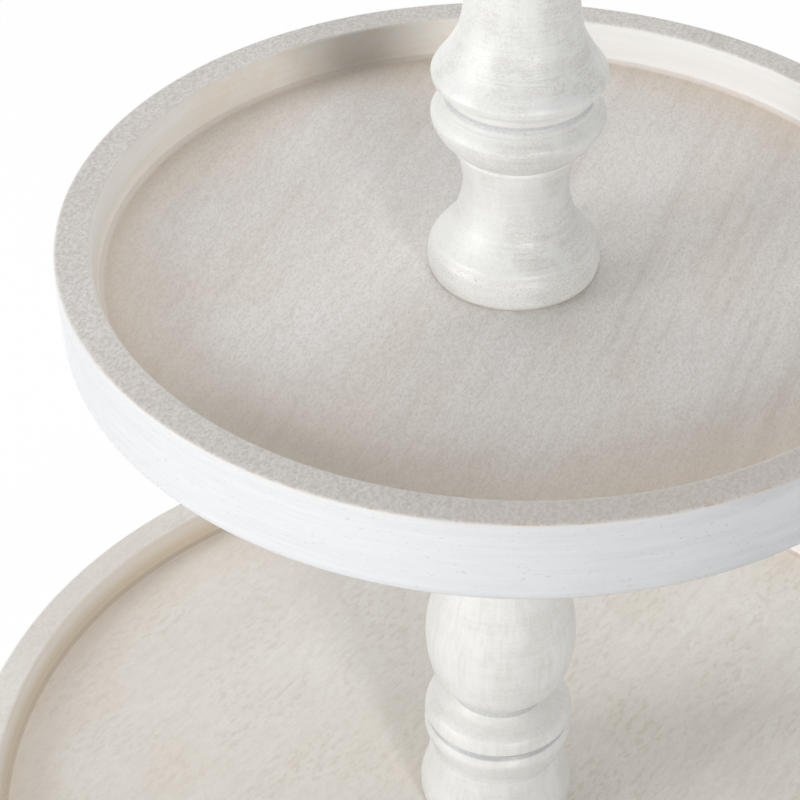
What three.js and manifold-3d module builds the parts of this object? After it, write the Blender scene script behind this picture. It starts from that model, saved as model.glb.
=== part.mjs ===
// Two-tier stand of turned, white-washed wood: a large and a small round tray on turned posts,
// held together by hidden M8 fastenings. Millimetres, +Z up, the floor at z = 0, the posts' axis on Z.
import * as THREE from 'three';
import { mergeVertices } from 'three/addons/utils/BufferGeometryUtils.js';
import Module from 'manifold-3d';

const wasm = await Module();
wasm.setup();

// Driving dimensions, in millimetres
const rimSpacing = 247;
const seatGap = 0.1;
const fitGap = 0.3;
const cutOverrun = 1;

const lowerTray = {
  radius: 203,
  height: 33,
  depth: 12,
  rimWidth: 12,
  sideDraft: 1.2,
  bottomRound: 6,
  arrisRound: 1.2,
  wallDraft: 1.4,
  floorFillet: 3,
};

const upperTray = {
  radius: 150,
  height: 32,
  depth: 14,
  rimWidth: 12,
  sideDraft: 1.2,
  bottomRound: 6,
  arrisRound: 1.2,
  wallDraft: 1.4,
  floorFillet: 3,
};

const lowerPost = { radius: 28.8 };
const upperPost = { radius: 28.4, height: 189 };
const finial = { radius: 22, collarRadius: 14, collarHeight: 4, neckRadius: 10.5, neckHeight: 5 };

const thread = { radius: 4, engagement: 12.5, chamfer: 0.8 };
const insert = { radius: 6, length: 20, flangeRadius: 8, flangeThickness: 1.5, boreRelief: 1.5 };
const bolt = { headRadius: 7, headHeight: 4.4, headCrown: 2.2, socketAcross: 5, socketDepth: 2.6 };
const washer = { radius: 12, thickness: 1.6 };
const screw = { radius: 3, depthInPost: 22, depthInFinial: 16, pointLength: 4, coreShare: 0.6 };
const pad = { radius: 12, height: 3, edgeRound: 0.8, inset: 24, count: 4 };

// Facet counts round each kind of piece
const trayFacets = 56;
const postFacets = 24;
const hardwareFacets = 12;
const padFacets = 20;
const hexSides = 6;
const arcSteps = 2;

// Outlines of the turned pieces, from the bottom up. Each stretch is a smooth curve through its points,
// a corner lies between two stretches, and a point is [share of the height, share of the radius].
const lowerPostShares = {
  footBand: { steps: 4, shares: [[0, 0.978], [0.009, 0.993], [0.016, 0.997], [0.037, 1]] },
  flare: { steps: 5, shares: [[0.04, 0.985], [0.066, 0.93], [0.098, 0.885], [0.119, 0.851]] },
  lowerBead: { steps: 6, shares: [[0.121, 0.855], [0.147, 0.937], [0.162, 0.958], [0.177, 0.887]] },
  groove: { steps: 2, shares: [[0.178, 0.86], [0.181, 0.845], [0.1835, 0.86]] },
  upperBead: { steps: 5, shares: [[0.1845, 0.905], [0.1895, 0.957], [0.21, 0.915], [0.223, 0.775]] },
  fillet: { steps: 2, shares: [[0.23, 0.611], [0.234, 0.615], [0.238, 0.605]] },
  eggAndNeck: {
    steps: 16,
    shares: [[0.239, 0.577], [0.259, 0.727], [0.29, 0.882], [0.355, 0.961], [0.416, 0.913], [0.514, 0.74],
      [0.636, 0.625], [0.759, 0.68], [0.803, 0.747]],
  },
  quirk: { steps: 1, shares: [[0.806, 0.712], [0.813, 0.712]] },
  collarBead: { steps: 4, shares: [[0.815, 0.778], [0.838, 0.847], [0.86, 0.778]] },
  upperQuirk: { steps: 1, shares: [[0.862, 0.722], [0.871, 0.722]] },
  capital: { steps: 5, shares: [[0.873, 0.785], [0.899, 0.813], [0.935, 0.878], [0.978, 0.979]] },
  topBand: { steps: 2, shares: [[0.981, 0.986], [0.991, 0.993], [1, 0.972]] },
};

const upperPostShares = {
  footBand: { steps: 4, shares: [[0, 0.967], [0.012, 0.99], [0.03, 1], [0.056, 0.972]] },
  ogeeAndNeck: {
    steps: 9,
    shares: [[0.059, 0.94], [0.09, 0.77], [0.116, 0.679], [0.17, 0.609], [0.217, 0.651], [0.235, 0.666]],
  },
  fillet: { steps: 2, shares: [[0.236, 0.705], [0.2415, 0.713], [0.247, 0.705]] },
  bead: { steps: 7, shares: [[0.248, 0.72], [0.275, 0.895], [0.309, 0.988], [0.332, 0.892]] },
  groove: { steps: 3, shares: [[0.3335, 0.87], [0.3435, 0.824], [0.3545, 0.856]] },
  lip: { steps: 2, shares: [[0.3565, 0.87], [0.3675, 0.901], [0.3745, 0.957]] },
  bellAndNeck: {
    steps: 18,
    shares: [[0.3755, 0.968], [0.383, 0.984], [0.394, 0.975], [0.423, 0.842], [0.471, 0.69], [0.54, 0.626],
      [0.587, 0.613], [0.651, 0.641], [0.725, 0.711], [0.799, 0.79], [0.852, 0.761]],
  },
  quirk: { steps: 1, shares: [[0.854, 0.715], [0.865, 0.715]] },
  collarBead: { steps: 4, shares: [[0.867, 0.775], [0.884, 0.845], [0.9015, 0.775]] },
  cove: { steps: 4, shares: [[0.9045, 0.722], [0.9255, 0.581], [0.953, 0.546], [0.968, 0.599]] },
  cap: { steps: 3, shares: [[0.97, 0.687], [0.985, 0.718], [1, 0.687]] },
};

// Sizes that follow from the ones above
const boltHoleRadius = thread.radius + fitGap;
const insertBoreRadius = insert.radius + fitGap;
const flangeBoreRadius = insert.flangeRadius + fitGap;
const recessRadius = washer.radius + fitGap;
const recessDepth = bolt.headHeight + washer.thickness + cutOverrun;
const screwBoreRadius = screw.radius + fitGap;

// Heights of the pieces above the floor
const lowerTrayBase = pad.height + seatGap;
const lowerFloor = lowerTrayBase + lowerTray.height - lowerTray.depth;
const upperTrayBase = lowerTrayBase + lowerTray.height + rimSpacing - upperTray.height;
const upperFloor = upperTrayBase + upperTray.height - upperTray.depth;
const lowerPostBase = lowerFloor + seatGap;
const lowerPostTop = upperTrayBase - seatGap;
const upperPostBase = upperFloor + seatGap;
const finialBase = upperPostBase + upperPost.height + seatGap;
lowerPost.height = lowerPostTop - lowerPostBase;

const finish = {
  tray: new THREE.MeshStandardMaterial({ color: 0xd9d4cc, roughness: 0.75, metalness: 0 }),
  post: new THREE.MeshStandardMaterial({ color: 0xe9e7e1, roughness: 0.7, metalness: 0 }),
  steel: new THREE.MeshStandardMaterial({ color: 0xb4b7ba, roughness: 0.35, metalness: 1 }),
  brass: new THREE.MeshStandardMaterial({ color: 0xc2a35c, roughness: 0.4, metalness: 1 }),
  felt: new THREE.MeshStandardMaterial({ color: 0x8d857a, roughness: 0.95, metalness: 0 }),
};

// A body turned about Z from an outline of [radius, height] points
function turn(points, facets) {
  const geometry = new THREE.LatheGeometry(points, facets);
  geometry.rotateX(Math.PI / 2);
  return geometry;
}

function piece(name, geometry, material, z) {
  const mesh = new THREE.Mesh(geometry, material);
  mesh.name = name;
  mesh.position.z = z;
  return mesh;
}

// The outside of a turned post, as points made of its stretches
function turnedOutline(stretches, height, radius) {
  const points = [];
  for (const { steps, shares } of Object.values(stretches)) {
    const through = shares.map(([up, out]) => new THREE.Vector2(out * radius, up * height));
    points.push(...new THREE.SplineCurve(through).getPoints(steps));
  }
  return points;
}

// A stepped blind hole for a threaded insert, from the axis at its bottom out to the mouth
function insertHole() {
  return [
    new THREE.Vector2(0, insert.length + insert.boreRelief),
    new THREE.Vector2(insertBoreRadius, insert.length + insert.boreRelief),
    new THREE.Vector2(insertBoreRadius, insert.flangeThickness + seatGap),
    new THREE.Vector2(flangeBoreRadius, insert.flangeThickness + seatGap),
    new THREE.Vector2(flangeBoreRadius, 0),
  ];
}

// A plain blind hole for the finial's screw
function screwHole(depth) {
  return [
    new THREE.Vector2(0, depth),
    new THREE.Vector2(screwBoreRadius, depth),
    new THREE.Vector2(screwBoreRadius, 0),
  ];
}

// The same hole sunk from the top of a piece, from its mouth in to the axis
function fromTop(hole, height) {
  return hole.map((point) => new THREE.Vector2(point.x, height - point.y)).reverse();
}

function lowerPostBody() {
  const outside = turnedOutline(lowerPostShares, lowerPost.height, lowerPost.radius);
  return turn([...insertHole(), ...outside, ...fromTop(insertHole(), lowerPost.height)], postFacets);
}

function upperPostBody() {
  const outside = turnedOutline(upperPostShares, upperPost.height, upperPost.radius);
  const hole = screwHole(screw.depthInPost + insert.boreRelief);
  return turn([...insertHole(), ...outside, ...fromTop(hole, upperPost.height)], postFacets);
}

// A ball on a short neck and a collar, with a screw hole from below
function finialBody() {
  const outline = new THREE.Path();
  const neckTop = finial.collarHeight + finial.neckHeight;
  const ballSink = Math.sqrt(finial.radius ** 2 - finial.neckRadius ** 2);
  const ballCentre = neckTop + ballSink;
  const ballStart = -Math.atan2(ballSink, finial.neckRadius);
  outline.moveTo(finial.collarRadius - finial.collarHeight / 2, 0);
  outline.absarc(finial.collarRadius - finial.collarHeight / 2, finial.collarHeight / 2,
    finial.collarHeight / 2, -Math.PI / 2, Math.PI / 2);
  outline.lineTo(finial.neckRadius, finial.collarHeight + finial.neckHeight / 3);
  outline.absarc(0, ballCentre, finial.radius, ballStart, Math.PI / 2);
  const hole = screwHole(screw.depthInFinial + insert.boreRelief);
  return turn([...hole, ...outline.getPoints(arcSteps * 3)], postFacets);
}

// A tray's outline: bottom, rounded side, flat rim, inner wall, filleted floor and the centre hole
function trayBody(tray, holeRadius, recess) {
  const floor = tray.height - tray.depth;
  const innerRadius = tray.radius - tray.rimWidth;
  const footRadius = tray.radius - tray.sideDraft;
  const floorRadius = innerRadius - tray.wallDraft;
  const outline = new THREE.Path();
  outline.moveTo(holeRadius, floor);
  if (recess) {
    outline.lineTo(holeRadius, recessDepth);
    outline.lineTo(recessRadius, recessDepth);
    outline.lineTo(recessRadius, 0);
  } else {
    outline.lineTo(holeRadius, 0);
  }
  outline.absarc(footRadius - tray.bottomRound, tray.bottomRound, tray.bottomRound, -Math.PI / 2, 0);
  outline.absarc(tray.radius - tray.arrisRound, tray.height - tray.arrisRound, tray.arrisRound, 0,
    Math.PI / 2);
  outline.absarc(innerRadius + tray.arrisRound, tray.height - tray.arrisRound, tray.arrisRound,
    Math.PI / 2, Math.PI);
  outline.absarc(floorRadius - tray.floorFillet, floor + tray.floorFillet, tray.floorFillet, 0,
    -Math.PI / 2, true);
  outline.lineTo(holeRadius, floor);
  return turn(outline.getPoints(arcSteps), trayFacets);
}

// A flanged threaded insert, drawn with its mouth down at height 0
function insertBody() {
  const outline = [
    new THREE.Vector2(boltHoleRadius, 0),
    new THREE.Vector2(insert.flangeRadius, 0),
    new THREE.Vector2(insert.flangeRadius, insert.flangeThickness),
    new THREE.Vector2(insert.radius, insert.flangeThickness),
    new THREE.Vector2(insert.radius, insert.length),
    new THREE.Vector2(boltHoleRadius, insert.length),
    new THREE.Vector2(boltHoleRadius, 0),
  ];
  return turn(outline, hardwareFacets);
}

function insertFacingUp(name, mouth) {
  const mesh = piece(name, insertBody(), finish.brass, mouth);
  mesh.rotation.x = Math.PI;
  return mesh;
}

// A plain rod with chamfered ends, as a fully threaded stud
function studBody(length) {
  const tip = thread.radius - thread.chamfer;
  const outline = [
    new THREE.Vector2(0, 0),
    new THREE.Vector2(tip, 0),
    new THREE.Vector2(thread.radius, thread.chamfer),
    new THREE.Vector2(thread.radius, length - thread.chamfer),
    new THREE.Vector2(tip, length),
    new THREE.Vector2(0, length),
  ];
  return turn(outline, hardwareFacets);
}

function solidOf(geometry) {
  const bare = geometry.clone();
  bare.deleteAttribute('normal');
  bare.deleteAttribute('uv');
  const merged = mergeVertices(bare);
  const vertProperties = new Float32Array(merged.attributes.position.array);
  const triVerts = new Uint32Array(merged.index.array);
  return new wasm.Manifold(new wasm.Mesh({ numProp: 3, vertProperties, triVerts }));
}

function geometryOf(solid) {
  const mesh = solid.getMesh();
  const geometry = new THREE.BufferGeometry();
  geometry.setAttribute('position', new THREE.BufferAttribute(mesh.vertProperties, 3));
  geometry.setIndex(new THREE.BufferAttribute(mesh.triVerts, 1));
  geometry.computeVertexNormals();
  return geometry;
}

// A crowned bolt head at the bottom with a hexagon socket, and its shank above
function boltBody(shankLength) {
  const crownRadius = bolt.headRadius - bolt.headCrown;
  const length = bolt.headHeight + shankLength;
  const tip = thread.radius - thread.chamfer;
  const outline = [
    new THREE.Vector2(0, 0),
    new THREE.Vector2(crownRadius, 0),
    new THREE.Vector2(bolt.headRadius, bolt.headCrown),
    new THREE.Vector2(bolt.headRadius, bolt.headHeight),
    new THREE.Vector2(thread.radius, bolt.headHeight),
    new THREE.Vector2(thread.radius, length - thread.chamfer),
    new THREE.Vector2(tip, length),
    new THREE.Vector2(0, length),
  ];
  const socketRadius = bolt.socketAcross / (2 * Math.cos(Math.PI / hexSides));
  const socketHeight = bolt.socketDepth + cutOverrun;
  const socket = new THREE.CylinderGeometry(socketRadius, socketRadius, socketHeight, hexSides);
  socket.rotateX(Math.PI / 2);
  socket.translate(0, 0, bolt.socketDepth - socketHeight / 2);
  return geometryOf(solidOf(turn(outline, hardwareFacets)).subtract(solidOf(socket)));
}

function washerBody() {
  const outline = [
    new THREE.Vector2(boltHoleRadius, 0),
    new THREE.Vector2(washer.radius, 0),
    new THREE.Vector2(washer.radius, washer.thickness),
    new THREE.Vector2(boltHoleRadius, washer.thickness),
    new THREE.Vector2(boltHoleRadius, 0),
  ];
  return turn(outline, hardwareFacets);
}

// A wood screw with a point at each end
function screwBody() {
  const length = screw.depthInPost + screw.depthInFinial;
  const core = screw.radius * screw.coreShare;
  const outline = [
    new THREE.Vector2(0, 0),
    new THREE.Vector2(core, screw.pointLength / 2),
    new THREE.Vector2(screw.radius, screw.pointLength),
    new THREE.Vector2(screw.radius, length - screw.pointLength),
    new THREE.Vector2(core, length - screw.pointLength / 2),
    new THREE.Vector2(0, length),
  ];
  return turn(outline, hardwareFacets);
}

function padBody() {
  const outline = [
    new THREE.Vector2(0, 0),
    new THREE.Vector2(pad.radius - pad.edgeRound, 0),
    new THREE.Vector2(pad.radius, pad.edgeRound),
    new THREE.Vector2(pad.radius, pad.height),
    new THREE.Vector2(0, pad.height),
  ];
  return turn(outline, padFacets);
}

// The foot pads in a ring under the lower tray
function footPads() {
  const ring = lowerTray.radius - lowerTray.sideDraft - lowerTray.bottomRound - pad.inset;
  const pads = [];
  for (let i = 0; i < pad.count; i += 1) {
    const angle = ((i + 0.5) * 2 * Math.PI) / pad.count;
    const mesh = piece(`foot_pad_${i + 1}`, padBody(), finish.felt, 0);
    mesh.position.x = ring * Math.cos(angle);
    mesh.position.y = ring * Math.sin(angle);
    pads.push(mesh);
  }
  return pads;
}

// The bolt and washer that hold the lower post from below
function baseFastening() {
  const ceiling = lowerTrayBase + recessDepth;
  const washerBase = ceiling - seatGap - washer.thickness;
  const headBase = washerBase - seatGap - bolt.headHeight;
  const shankLength = lowerPostBase + thread.engagement - headBase - bolt.headHeight;
  return [
    piece('base_washer', washerBody(), finish.steel, washerBase),
    piece('base_bolt', boltBody(shankLength), finish.steel, headBase),
  ];
}

function joiningStud() {
  const bottom = lowerPostTop - thread.engagement;
  const top = upperPostBase + thread.engagement;
  return piece('joining_stud', studBody(top - bottom), finish.steel, bottom);
}

const stand = new THREE.Group();
stand.name = 'tiered_stand';

const base = new THREE.Group();
base.name = 'base';
base.add(piece('lower_tray', trayBody(lowerTray, boltHoleRadius, true), finish.tray, lowerTrayBase));
base.add(piece('lower_post', lowerPostBody(), finish.post, lowerPostBase));
base.add(piece('lower_post_bottom_insert', insertBody(), finish.brass, lowerPostBase));
base.add(insertFacingUp('lower_post_top_insert', lowerPostTop));
base.add(joiningStud());
base.add(...baseFastening());
base.add(...footPads());

const upperTier = new THREE.Group();
upperTier.name = 'upper_tier';
upperTier.add(piece('upper_tray', trayBody(upperTray, boltHoleRadius, false), finish.tray, upperTrayBase));

const handle = new THREE.Group();
handle.name = 'handle';
handle.add(piece('upper_post', upperPostBody(), finish.post, upperPostBase));
handle.add(piece('upper_post_insert', insertBody(), finish.brass, upperPostBase));
handle.add(piece('finial', finialBody(), finish.post, finialBase));
handle.add(piece('finial_screw', screwBody(), finish.steel, finialBase - screw.depthInPost));
upperTier.add(handle);

stand.add(base, upperTier);

export default stand;
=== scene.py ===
"""A two-tier stand of turned, white-washed wood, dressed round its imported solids.

Metres, +Z up, the posts' axis on Z. Trays and posts are drawn as outlines of [radius, height] and
turned by one Geometry Nodes tree, which also cuts the threads and the small dents of the arrises.
"""

import math

import bmesh
import bpy
import numpy as np
from mathutils import Matrix, Vector


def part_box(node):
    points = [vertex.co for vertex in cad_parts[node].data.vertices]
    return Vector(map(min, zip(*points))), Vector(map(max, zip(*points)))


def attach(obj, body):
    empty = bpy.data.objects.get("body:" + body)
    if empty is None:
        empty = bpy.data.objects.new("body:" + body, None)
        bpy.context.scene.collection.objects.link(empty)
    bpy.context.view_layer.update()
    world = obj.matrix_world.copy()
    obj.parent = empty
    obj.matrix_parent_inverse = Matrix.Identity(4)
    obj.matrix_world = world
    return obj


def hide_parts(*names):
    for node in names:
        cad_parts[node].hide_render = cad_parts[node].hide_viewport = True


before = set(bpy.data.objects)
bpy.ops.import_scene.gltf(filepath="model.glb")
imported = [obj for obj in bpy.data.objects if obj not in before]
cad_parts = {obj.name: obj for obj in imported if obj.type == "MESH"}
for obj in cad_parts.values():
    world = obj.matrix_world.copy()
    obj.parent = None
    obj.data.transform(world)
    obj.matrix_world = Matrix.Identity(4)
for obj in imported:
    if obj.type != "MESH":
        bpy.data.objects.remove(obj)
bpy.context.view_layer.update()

MM = 0.001
TURN = 2 * math.pi

# Sizes of the trays that the solids' boxes don't give, in metres
RIM_WIDTH = 12 * MM
SIDE_DRAFT = 1.2 * MM
BOTTOM_ROUND = 6 * MM
ARRIS_ROUND = 1.2 * MM
WALL_DRAFT = 1.4 * MM
FLOOR_FILLET = 3 * MM
# How far the floor's painted shade reaches from the wall
WALL_SHADE_REACH = 55 * MM
LOWER_DEPTH = 12 * MM
UPPER_DEPTH = 14 * MM
BOLT_HOLE = 4.3 * MM
BOLT_HOLE_ROUND = 0.3 * MM
WASHER_RECESS = (12.3 * MM, 7 * MM)
RECESS_ROUND = 0.4 * MM

# Sizes of the posts
HOLLOW_SPAN = 3.5 * MM
HOLLOW_DEPTH = 2 * MM
EDGE_REACH = 0.7 * MM
SEAM_REACH = 1.2 * MM
FOOT_LINE_DEPTH = 0.6 * MM
FOOT_LINE_REACH = 1.5 * MM
INSERT_BORE = 6.3 * MM
FLANGE_BORE = 8.3 * MM
INSERT_SINK = 21.5 * MM
FLANGE_SINK = 1.6 * MM
SCREW_BORE = 3.3 * MM
SCREW_SINK_POST = 23.5 * MM
SCREW_SINK_FINIAL = 17.5 * MM

# Threads: pitch, depth, rows of the mesh in one pitch, rows over which a rod's thread fades in and
# out, and the chamfer at a rod's ends
METRIC_PITCH = 1.25 * MM
METRIC_DEPTH = 0.7 * MM
WOOD_PITCH = 2.5 * MM
WOOD_DEPTH = 0.9 * MM
METRIC_ROWS = 12
WOOD_ROWS = 18
ROD_FADE_ROWS = 6
ROD_CHAMFER = 0.8 * MM

# How far apart the rows of a turned mesh are on its plain stretches
HOLE_ROW = 2 * MM
FLAT_ROW = 3 * MM
WALL_SHADE_ROW = 2 * MM
RECESS_ROW = 1.5 * MM
ROUND_ROW = 0.3 * MM
UNDERSIDE_ROW = 4 * MM
SIDE_ROW = 1.6 * MM
FINE_ROW = 0.8 * MM
STEEL_ROW = 1 * MM
SMALL_ROW = 0.6 * MM
CURVE_STEPS = 14

# How far a turned piece is off true: out of round, rings of the tool, dents on its arrises
TRAY_WEAR = {"sway": 0.25 * MM, "rings": 0.02 * MM, "dents": 0.14 * MM}
POST_WEAR = {"sway": 0.12 * MM, "rings": 0.05 * MM}
FINIAL_WEAR = {"sway": 0.1 * MM, "rings": 0.04 * MM}
FELT_WEAR = {"dents": 0.25 * MM}

# Stretches of the posts' outlines from the bottom up: [share of the height, share of the radius]
LOWER_POST = {
    "foot_band": [[0, 0.978], [0.009, 0.993], [0.016, 0.997], [0.037, 1]],
    "flare": [[0.04, 0.985], [0.066, 0.93], [0.098, 0.885], [0.119, 0.851]],
    "lower_bead": [[0.121, 0.855], [0.147, 0.937], [0.162, 0.958], [0.177, 0.887]],
    "groove": [[0.178, 0.86], [0.181, 0.845], [0.1835, 0.86]],
    "upper_bead": [[0.1845, 0.905], [0.1895, 0.957], [0.21, 0.915], [0.223, 0.775]],
    "fillet": [[0.23, 0.611], [0.234, 0.615], [0.238, 0.605]],
    "egg_and_neck": [
        [0.239, 0.577], [0.259, 0.727], [0.29, 0.882], [0.355, 0.961], [0.416, 0.913],
        [0.514, 0.74], [0.636, 0.625], [0.759, 0.68], [0.803, 0.747],
    ],
    "quirk": [[0.806, 0.712], [0.813, 0.712]],
    "collar_bead": [[0.815, 0.778], [0.838, 0.847], [0.86, 0.778]],
    "upper_quirk": [[0.862, 0.722], [0.871, 0.722]],
    "capital": [[0.873, 0.785], [0.899, 0.813], [0.935, 0.878], [0.978, 0.979]],
    "top_band": [[0.981, 0.986], [0.991, 0.993], [1, 0.972]],
}
UPPER_POST = {
    "foot_band": [[0, 0.967], [0.012, 0.99], [0.03, 1], [0.056, 0.972]],
    "ogee_and_neck": [
        [0.059, 0.94], [0.09, 0.77], [0.116, 0.679], [0.17, 0.609], [0.217, 0.651],
        [0.235, 0.666],
    ],
    "fillet": [[0.236, 0.705], [0.2415, 0.713], [0.247, 0.705]],
    "bead": [[0.248, 0.72], [0.275, 0.895], [0.309, 0.988], [0.332, 0.892]],
    "groove": [[0.3335, 0.87], [0.3435, 0.824], [0.3545, 0.856]],
    "lip": [[0.3565, 0.87], [0.3675, 0.901], [0.3745, 0.957]],
    "bell_and_neck": [
        [0.3755, 0.968], [0.383, 0.984], [0.394, 0.975], [0.423, 0.842], [0.471, 0.69],
        [0.54, 0.626], [0.587, 0.613], [0.651, 0.641], [0.725, 0.711], [0.799, 0.79],
        [0.852, 0.761],
    ],
    "quirk": [[0.854, 0.715], [0.865, 0.715]],
    "collar_bead": [[0.867, 0.775], [0.884, 0.845], [0.9015, 0.775]],
    "cove": [[0.9045, 0.722], [0.9255, 0.581], [0.953, 0.546], [0.968, 0.599]],
    "cap": [[0.97, 0.687], [0.985, 0.718], [1, 0.687]],
}

# What a point of an outline says of itself, kept on the turned mesh for the finishes
MARKS = (
    "rim", "side", "wall", "foot", "crease", "corner", "under", "arris", "lip", "hollow", "edge",
    "band", "seam", "six", "pitch", "cut",
)


def nodes_of(tree):
    """A maker of nodes in that tree, which gives a node's outputs.

    It takes the kind, the inputs to set or wire, by name or number, and the settings.
    """

    def node(kind, inputs=None, **settings):
        made = tree.nodes.new(kind)
        for name, value in settings.items():
            setattr(made, name, value)
        for key, value in (inputs or {}).items():
            if isinstance(value, bpy.types.NodeSocket):
                tree.links.new(value, made.inputs[key])
            else:
                made.inputs[key].default_value = value
        return made.outputs

    return node


def sums_of(node):
    """A maker of Math nodes: the operation and its numbers or sockets."""

    def calc(operation, *values, clamp=False):
        wired = dict(enumerate(values))
        return node("ShaderNodeMath", wired, operation=operation, use_clamp=clamp)[0]

    return calc


# Turning

LATHE_INPUTS = {
    "Outline": "Geometry", "Facets": "Int", "Sway": "Float", "Rings": "Float", "Dents": "Float",
    "Seed": "Float", "Finish": "Material",
}


def turning_tree():
    """The lathe: sweeps an outline round Z, with threads, a hexagon, rings, sway and dents."""
    flat_crest, crest_slope = 0.12, 1.3
    least_pitch = 0.01 * MM
    sides = 6
    sway_height, sway_scale = 6, 0.9
    ring_scale, bite_scale = 900, 170
    bite_from, bite_slope = 0.56, 7
    seam_gap = 0.004 * MM

    tree = bpy.data.node_groups.new("turned_piece", "GeometryNodeTree")
    sockets = {}
    for name, kind in LATHE_INPUTS.items():
        made = tree.interface.new_socket(name=name, in_out="INPUT", socket_type="NodeSocket" + kind)
        sockets[name] = made.identifier
    tree.interface.new_socket(name="Piece", in_out="OUTPUT", socket_type="NodeSocketGeometry")
    node = nodes_of(tree)
    calc = sums_of(node)
    given = node("NodeGroupInput")

    def whole(operation, first, second):
        return node("FunctionNodeIntegerMath", {0: first, 1: second}, operation=operation)[0]

    # One row of the grid for each point of the outline, one column for each facet
    size = node("GeometryNodeAttributeDomainSize", {0: given["Outline"]}, component="MESH")
    columns = whole("ADD", given["Facets"], 1)
    grid = node(
        "GeometryNodeMeshGrid",
        {"Vertices X": size["Point Count"], "Vertices Y": columns},
    )["Mesh"]
    index = node("GeometryNodeInputIndex")[0]
    row = whole("DIVIDE", index, columns)
    column = whole("MODULO", index, columns)

    def on_outline(value, kind):
        return node(
            "GeometryNodeSampleIndex",
            {"Geometry": given["Outline"], "Value": value, "Index": row},
            data_type=kind,
            domain="POINT",
        )[0]

    def mark(name):
        kept = node("GeometryNodeInputNamedAttribute", {"Name": name}, data_type="FLOAT")
        return kept["Attribute"]

    place = on_outline(node("GeometryNodeInputPosition")[0], "FLOAT_VECTOR")
    drawn = node("ShaderNodeSeparateXYZ", {0: place})
    marks = {name: on_outline(mark(name), "FLOAT") for name in MARKS}

    share = calc("DIVIDE", column, given["Facets"])
    angle = calc("MULTIPLY", share, TURN)
    cosine = calc("COSINE", angle)
    sine = calc("SINE", angle)

    # A thread: a ridge that climbs one pitch in each turn
    climb = calc("DIVIDE", drawn["Z"], calc("MAXIMUM", marks["pitch"], least_pitch))
    phase = calc("FRACT", calc("SUBTRACT", climb, share))
    flank = calc("MULTIPLY", calc("ABSOLUTE", calc("SUBTRACT", phase, 0.5)), 2)
    crest = calc("MULTIPLY", calc("SUBTRACT", flank, flat_crest), crest_slope, clamp=True)
    threaded = calc("SUBTRACT", drawn["X"], calc("MULTIPLY", crest, marks["cut"]))

    # A hexagon across the same flats
    along_side = calc("SUBTRACT", calc("FRACT", calc("MULTIPLY", share, sides)), 0.5)
    hexagon = calc("DIVIDE", 1, calc("COSINE", calc("MULTIPLY", along_side, TURN / sides)))
    flats = calc("ADD", 1, calc("MULTIPLY", marks["six"], calc("SUBTRACT", hexagon, 1)))

    def noise(vector, scale, detail, shift):
        w = calc("ADD", given["Seed"], shift)
        return node(
            "ShaderNodeTexNoise",
            {"Vector": vector, "W": w, "Scale": scale, "Detail": detail},
            noise_dimensions="4D",
        )[0]

    # The wood moves a little out of round after turning
    ring = node(
        "ShaderNodeCombineXYZ", {0: cosine, 1: sine, 2: calc("MULTIPLY", drawn["Z"], sway_height)}
    )[0]
    sway = calc("MULTIPLY", noise(ring, sway_scale, 1, 0), given["Sway"])
    swayed = calc("SUBTRACT", calc("MULTIPLY", threaded, flats), sway)
    radius = calc("MAXIMUM", swayed, 0)
    spot = node(
        "ShaderNodeCombineXYZ",
        {0: calc("MULTIPLY", radius, cosine), 1: calc("MULTIPLY", radius, sine), 2: drawn["Z"]},
    )[0]

    piece = node("GeometryNodeFlipFaces", {0: grid})[0]
    for name in MARKS:
        piece = node(
            "GeometryNodeStoreNamedAttribute",
            {"Geometry": piece, "Name": name, "Value": marks[name]},
            data_type="FLOAT",
            domain="POINT",
        )[0]
    piece = node("GeometryNodeSetPosition", {"Geometry": piece, "Position": spot})[0]
    piece = node("GeometryNodeMergeByDistance", {"Geometry": piece, "Distance": seam_gap})[0]

    # Rings left by the tool and dents on the arrises, both cut inwards
    here = node("GeometryNodeInputPosition")[0]
    height = node("ShaderNodeSeparateXYZ", {0: here})["Z"]
    up = node("ShaderNodeCombineXYZ", {0: 0.0, 1: 0.0, 2: height})[0]
    rings = calc("MULTIPLY", noise(up, ring_scale, 2, 3), given["Rings"])
    deep = calc("SUBTRACT", noise(here, bite_scale, 3, 7), bite_from)
    bites = calc("MULTIPLY", deep, bite_slope, clamp=True)
    dents = calc("MULTIPLY", calc("MULTIPLY", bites, mark("arris")), given["Dents"])
    inward = calc("MULTIPLY", calc("ADD", rings, dents), -1)
    offset = node(
        "ShaderNodeVectorMath",
        {0: node("GeometryNodeInputNormal")[0], "Scale": inward},
        operation="SCALE",
    )[0]
    piece = node("GeometryNodeSetPosition", {"Geometry": piece, "Offset": offset})[0]
    piece = node("GeometryNodeSetShadeSmooth", {"Geometry": piece})[0]
    piece = node("GeometryNodeSetMaterial", {"Geometry": piece, "Material": given["Finish"]})[0]
    node("NodeGroupOutput", {0: piece})
    return tree, sockets


LATHE, LATHE_SOCKETS = turning_tree()


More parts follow.
